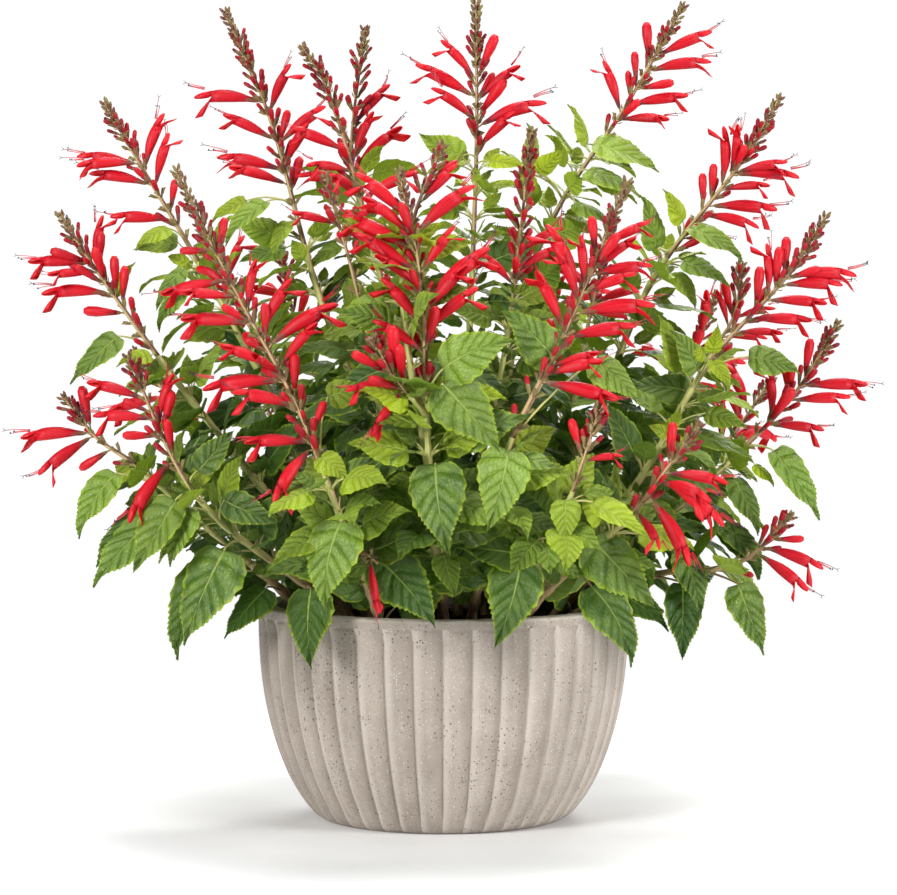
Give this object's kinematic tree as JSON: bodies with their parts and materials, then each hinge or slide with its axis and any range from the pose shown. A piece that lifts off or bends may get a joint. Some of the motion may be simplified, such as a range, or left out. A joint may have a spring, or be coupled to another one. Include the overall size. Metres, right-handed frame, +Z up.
{
  "type": "potted pineapple sage",
  "caption": "Bushy pineapple sage with serrated leaves and spikes of red tube flowers, growing in a reeded concrete bowl pot that stands on a flat base.",
  "frame": {"origin": "middle of the pot's base, on the surface that the pot stands on", "axes": "+Z up along the pot's axis, -Y towards the front, +X to the right seen from the front"},
  "size_m": [0.6134, 0.5885, 0.6184],
  "materials": {
    "concrete": "matte cast concrete, warm grey, with small air holes and pale specks",
    "soil": "damp dark potting soil with bark and grit",
    "stem": "square green stems, tan and woody at the foot, olive-brown in the spikes",
    "leaf": "satin green blades with sunken veins and a toothed edge, lime on young leaves",
    "calyx": "ribbed green cups flushed with maroon",
    "petal": "soft bright red, crimson in the bud"
  },
  "bodies": {
    "root": {"pot": "concrete", "soil": "soil", "leafy_stem_a": "leaf", "leafy_stem_b": "leaf", "leafy_stem_c": "leaf", "leafy_stem_d": "leaf", "leafy_stem_e": "leaf", "leafy_stem_f": "leaf", "leafy_stem_g": "leaf", "leafy_stem_h": "leaf", "leafy_stem_i": "leaf", "leafy_stem_j": "leaf", "leafy_stem_k": "leaf", "leafy_stem_l": "leaf", "leafy_stem_m": "leaf", "leafy_stem_n": "leaf", "leafy_stem_o": "leaf", "leafy_stem_p": "leaf", "leafy_stem_q": "leaf", "leafy_stem_r": "leaf", "leafy_stem_s": "leaf", "leafy_stem_t": "leaf", "leafy_stem_u": "leaf", "leafy_stem_v": "leaf", "leafy_stem_w": "leaf", "leafy_stem_x": "leaf", "flower_spike_a": "petal", "flower_spike_b": "petal", "flower_spike_c": "petal", "flower_spike_d": "petal", "flower_spike_e": "petal", "flower_spike_f": "petal", "flower_spike_g": "petal", "flower_spike_h": "petal", "flower_spike_i": "petal", "flower_spike_j": "petal", "flower_spike_k": "petal", "flower_spike_l": "petal", "flower_spike_m": "petal", "flower_spike_n": "petal", "flower_spike_o": "petal", "flower_spike_p": "petal", "flower_spike_q": "petal", "flower_spike_r": "petal", "flower_spike_s": "petal", "flower_spike_t": "petal", "flower_spike_u": "petal", "flower_spike_v": "petal", "flower_spike_w": "petal", "flower_spike_x": "petal", "side_shoot_01": "stem", "side_shoot_02": "stem", "side_shoot_03": "stem", "side_shoot_04": "stem", "side_shoot_05": "stem", "side_shoot_06": "stem", "side_shoot_07": "stem", "side_shoot_08": "stem", "side_shoot_09": "stem", "side_shoot_10": "stem"}
  },
  "joints": []
}
